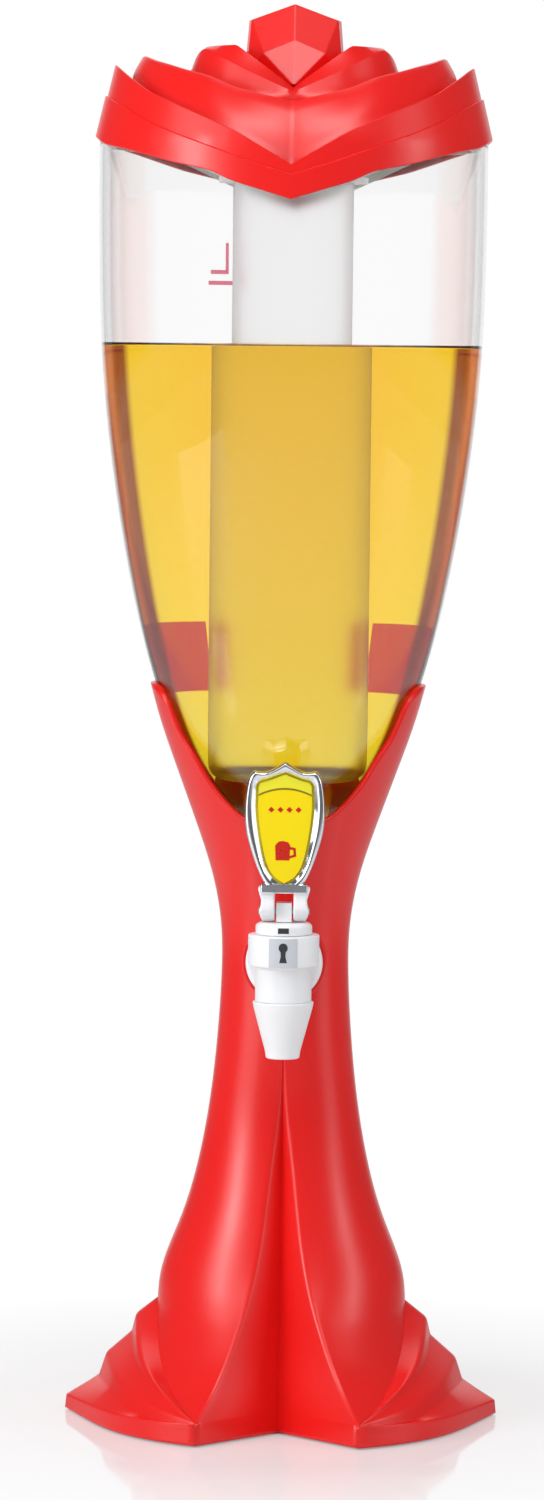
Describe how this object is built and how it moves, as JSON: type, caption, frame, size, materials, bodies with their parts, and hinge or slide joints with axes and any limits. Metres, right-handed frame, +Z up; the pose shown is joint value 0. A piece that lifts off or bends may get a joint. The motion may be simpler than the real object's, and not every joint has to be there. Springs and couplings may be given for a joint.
{
  "type": "beer tower dispenser",
  "caption": "Tabletop beer tower: red pleated pedestal, clear egg-bottomed tank with a central ice tube, faceted crown lid and a gravity tap with a shield-shaped handle.",
  "frame": {"origin": "on the tower's axis, on the surface it stands on", "axes": "+Z up along the tank's axis; the tap is on the -Y side; the feet point to +X and -X"},
  "size_m": [0.1958, 0.1834, 0.635],
  "materials": {
    "red_plastic": "high gloss moulded plastic",
    "clear_plastic": "clear moulded plastic",
    "white_plastic": "gloss moulded plastic",
    "grey_plastic": "fine satin moulded plastic",
    "yellow_plastic": "gloss plate",
    "chrome_plate": "bright plated plastic",
    "clear_silicone": "soft satin",
    "black_rubber": "matt",
    "steel": "satin"
  },
  "bodies": {
    "stand": {"pedestal_front": "red_plastic", "pedestal_back": "red_plastic", "shell_screws": "steel", "base_plate": "red_plastic", "base_screws": "steel", "rubber_feet": "black_rubber", "tank": "clear_plastic", "tank_cradle": "white_plastic", "tank_seal": "clear_silicone", "tank_nut": "grey_plastic", "feed_elbow": "clear_silicone", "hose_clamps": "steel", "tap_body": "white_plastic", "tap_gasket": "clear_silicone", "tap_flange": "white_plastic", "shank_nut": "grey_plastic", "spout": "white_plastic", "bonnet": "white_plastic"},
    "valve": {"valve_stem": "white_plastic", "valve_seal": "clear_silicone", "valve_spring": "steel"},
    "handle": {"handle_frame": "chrome_plate", "handle_insert": "yellow_plastic", "lever_pin": "steel"},
    "lid": {"lid_crown": "red_plastic", "lid_liner": "clear_plastic", "lid_gasket": "clear_silicone", "tube_gasket": "clear_silicone", "ice_tube": "clear_plastic"},
    "cap": {"cap_knob": "red_plastic", "cap_gasket": "clear_silicone"}
  },
  "joints": [
    {"name": "valve_lift", "type": "slide", "parent": "stand", "child": "valve", "axis": [0, 0, 1], "range_m": [0, 0.0024], "deforming": ["valve_spring"]},
    {"name": "handle_tilt", "type": "hinge", "parent": "valve", "child": "handle", "pos_m": [0, -0.052, 0.2336], "axis": [1, 0, 0], "range_deg": [0, 40], "stiffness_Nm_per_rad": 0.06, "springref_deg": -28.65},
    {"name": "lid_lift", "type": "slide", "parent": "stand", "child": "lid", "axis": [0, 0, 1], "range_m": [0, 0.27]},
    {"name": "cap_lift", "type": "slide", "parent": "lid", "child": "cap", "axis": [0, 0, 1], "range_m": [0, 0.06]}
  ],
  "couplings": [
    {"joint": "valve_lift", "follows": "handle_tilt", "m_per_rad": 0.0033}
  ]
}
